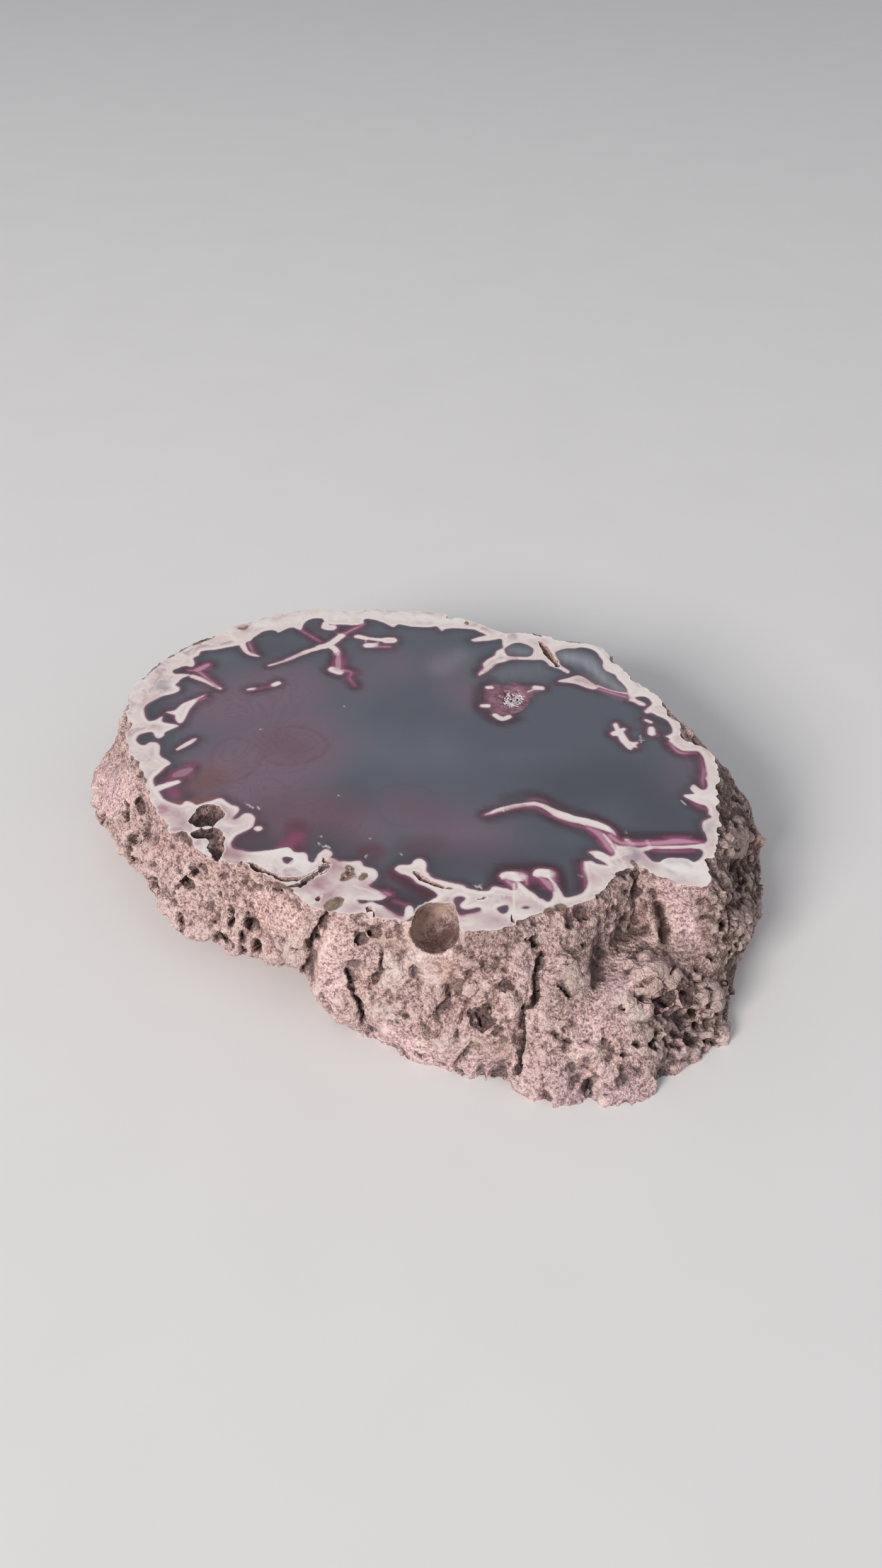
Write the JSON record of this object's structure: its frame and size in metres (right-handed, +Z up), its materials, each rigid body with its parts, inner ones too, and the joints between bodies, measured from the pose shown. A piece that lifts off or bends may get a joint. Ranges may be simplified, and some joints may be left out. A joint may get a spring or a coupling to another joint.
{
  "type": "thunderegg slice",
  "caption": "Thick sawn slice of a thunderegg nodule with a polished grey agate face, a pitted rhyolite rind and a small quartz-lined hollow, lying flat.",
  "frame": {"origin": "under the middle of the slice's bounding box, on the surface it lies on", "axes": "+X along the slice's length, +Y across it and away from the smooth facet, +Z up out of the polished face"},
  "size_m": [0.1874, 0.1664, 0.034],
  "materials": {
    "stone": "polished agate on the face, rough and pitted rind on the wall, sawn and matt below",
    "quartz": "small bright crystals"
  },
  "bodies": {
    "root": {"thunderegg_slice": "stone", "quartz_crust": "quartz"}
  },
  "joints": []
}
